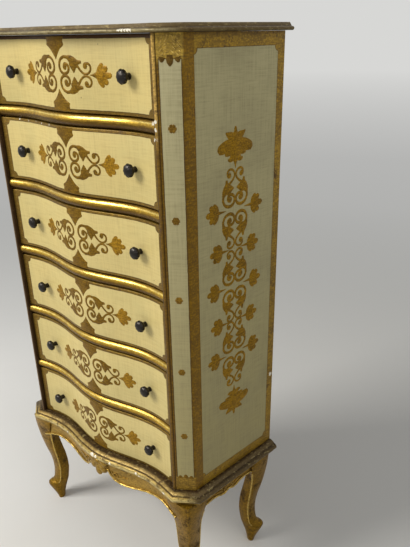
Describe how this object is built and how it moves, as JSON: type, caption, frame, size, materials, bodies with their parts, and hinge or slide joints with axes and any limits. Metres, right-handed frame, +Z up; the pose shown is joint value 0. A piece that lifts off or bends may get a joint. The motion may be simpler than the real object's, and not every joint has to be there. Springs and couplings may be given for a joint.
{
  "type": "chiffonier",
  "caption": "Tall narrow chest of drawers with a serpentine front, canted corners, moulded top and base, round knobs and short cabriole legs.",
  "frame": {"origin": "on the floor, under the middle of the bounding box", "axes": "+Z up, +X to the right of someone facing the drawers, -Y the way the drawers open"},
  "size_m": [0.673, 0.3486, 1.314],
  "materials": {
    "cream_paint": "satin",
    "celadon_paint": "satin",
    "worn_gilding": "semi-gloss",
    "rubbed_moulding": "satin",
    "drawer_wood": "matte",
    "dark_bronze": "semi-gloss"
  },
  "bodies": {
    "case": {"top_board": "rubbed_moulding", "left_side_panel": "celadon_paint", "right_side_panel": "celadon_paint", "left_pilaster": "celadon_paint", "right_pilaster": "celadon_paint", "back_panel": "drawer_wood", "divider_rail_1": "worn_gilding", "divider_rail_2": "worn_gilding", "divider_rail_3": "worn_gilding", "divider_rail_4": "worn_gilding", "divider_rail_5": "worn_gilding", "base_board": "rubbed_moulding", "front_apron": "worn_gilding", "left_apron": "worn_gilding", "right_apron": "worn_gilding", "rear_apron": "rubbed_moulding", "front_left_leg": "worn_gilding", "front_right_leg": "worn_gilding", "rear_left_leg": "worn_gilding", "rear_right_leg": "worn_gilding", "runner_1_left": "drawer_wood", "runner_1_right": "drawer_wood", "runner_2_left": "drawer_wood", "runner_2_right": "drawer_wood", "runner_3_left": "drawer_wood", "runner_3_right": "drawer_wood", "runner_4_left": "drawer_wood", "runner_4_right": "drawer_wood", "runner_5_left": "drawer_wood", "runner_5_right": "drawer_wood"},
    "drawer_1": {"drawer_1_front": "cream_paint", "drawer_1_box": "drawer_wood", "drawer_1_bottom": "drawer_wood", "drawer_1_left_knob": "dark_bronze", "drawer_1_right_knob": "dark_bronze"},
    "drawer_2": {"drawer_2_front": "cream_paint", "drawer_2_box": "drawer_wood", "drawer_2_bottom": "drawer_wood", "drawer_2_left_knob": "dark_bronze", "drawer_2_right_knob": "dark_bronze"},
    "drawer_3": {"drawer_3_front": "cream_paint", "drawer_3_box": "drawer_wood", "drawer_3_bottom": "drawer_wood", "drawer_3_left_knob": "dark_bronze", "drawer_3_right_knob": "dark_bronze"},
    "drawer_4": {"drawer_4_front": "cream_paint", "drawer_4_box": "drawer_wood", "drawer_4_bottom": "drawer_wood", "drawer_4_left_knob": "dark_bronze", "drawer_4_right_knob": "dark_bronze"},
    "drawer_5": {"drawer_5_front": "cream_paint", "drawer_5_box": "drawer_wood", "drawer_5_bottom": "drawer_wood", "drawer_5_left_knob": "dark_bronze", "drawer_5_right_knob": "dark_bronze"},
    "drawer_6": {"drawer_6_front": "cream_paint", "drawer_6_box": "drawer_wood", "drawer_6_bottom": "drawer_wood", "drawer_6_left_knob": "dark_bronze", "drawer_6_right_knob": "dark_bronze"}
  },
  "joints": [
    {"name": "drawer_1_slide", "type": "slide", "parent": "case", "child": "drawer_1", "axis": [0, -1, 0], "range_m": [0, 0.22]},
    {"name": "drawer_2_slide", "type": "slide", "parent": "case", "child": "drawer_2", "axis": [0, -1, 0], "range_m": [0, 0.22]},
    {"name": "drawer_3_slide", "type": "slide", "parent": "case", "child": "drawer_3", "axis": [0, -1, 0], "range_m": [0, 0.22]},
    {"name": "drawer_4_slide", "type": "slide", "parent": "case", "child": "drawer_4", "axis": [0, -1, 0], "range_m": [0, 0.22]},
    {"name": "drawer_5_slide", "type": "slide", "parent": "case", "child": "drawer_5", "axis": [0, -1, 0], "range_m": [0, 0.22]},
    {"name": "drawer_6_slide", "type": "slide", "parent": "case", "child": "drawer_6", "axis": [0, -1, 0], "range_m": [0, 0.22]}
  ]
}
